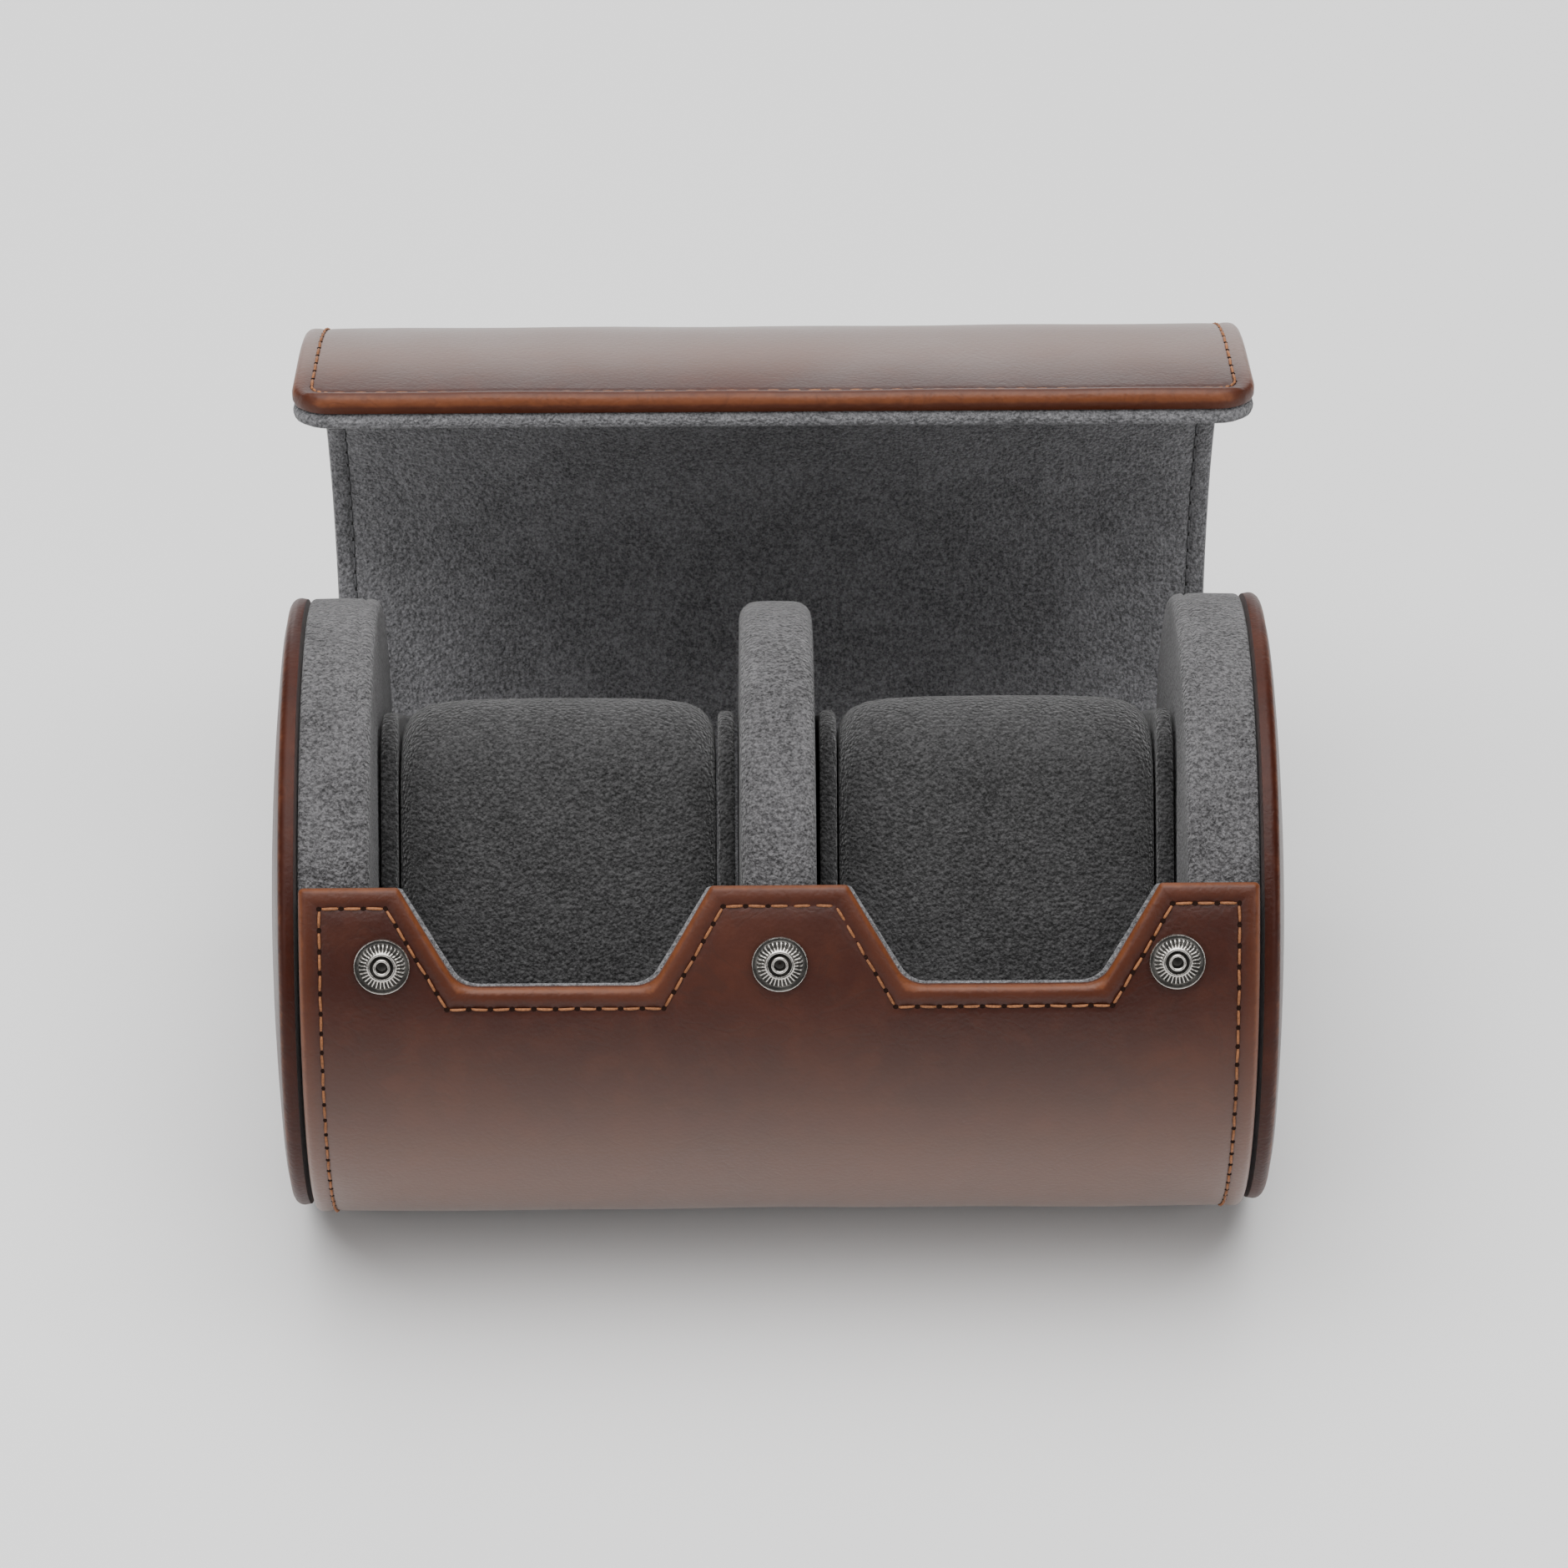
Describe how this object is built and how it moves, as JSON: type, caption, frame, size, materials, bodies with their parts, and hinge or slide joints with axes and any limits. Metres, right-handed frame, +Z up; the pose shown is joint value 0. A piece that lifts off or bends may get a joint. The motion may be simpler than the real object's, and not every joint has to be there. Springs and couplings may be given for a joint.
{
  "type": "watch roll",
  "caption": "Round leather travel roll for watches, with suede bays and cushions, notched front tabs, snap studs and a curved lid on a leather hinge.",
  "frame": {"origin": "middle of the flat spot on the underside that the closed roll rests on", "axes": "+X along the roll to the right end seen from the front, +Y to the back where the lid lies, +Z up; the front tabs and snap studs face -Y and up"},
  "size_m": [0.1694, 0.1706, 0.1173],
  "materials": {
    "wrap_leather": "waxy chestnut brown leather, semi-gloss",
    "cap_leather": "darker brown domed leather",
    "lining_suede": "dark grey suede lining",
    "pad_suede": "mid grey suede",
    "cushion_suede": "charcoal grey suede",
    "board": "plain stiffening board",
    "nickel": "aged nickel"
  },
  "bodies": {
    "roll_body": {"body_leather": "wrap_leather", "body_board": "board", "body_lining": "lining_suede", "divider_pad": "pad_suede", "left_end_pad": "pad_suede", "left_cap_board": "board", "left_cap_leather": "cap_leather", "left_cushion_pillow": "cushion_suede", "left_cushion_plate_inner": "cushion_suede", "left_cushion_plate_outer": "cushion_suede", "right_end_pad": "pad_suede", "right_cap_board": "board", "right_cap_leather": "cap_leather", "right_cushion_pillow": "cushion_suede", "right_cushion_plate_inner": "cushion_suede", "right_cushion_plate_outer": "cushion_suede", "left_stud": "nickel", "left_stud_washer": "nickel", "middle_stud": "nickel", "middle_stud_washer": "nickel", "right_stud": "nickel", "right_stud_washer": "nickel"},
    "lid": {"lid_leather": "wrap_leather", "lid_board": "board", "lid_lining": "lining_suede", "left_socket": "nickel", "middle_socket": "nickel", "right_socket": "nickel"}
  },
  "joints": [
    {"name": "lid_hinge", "type": "hinge", "parent": "roll_body", "child": "lid", "pos_m": [0, 0.03066, 0.0077], "axis": [1, 0, 0], "range_deg": [0, 64.9]}
  ]
}
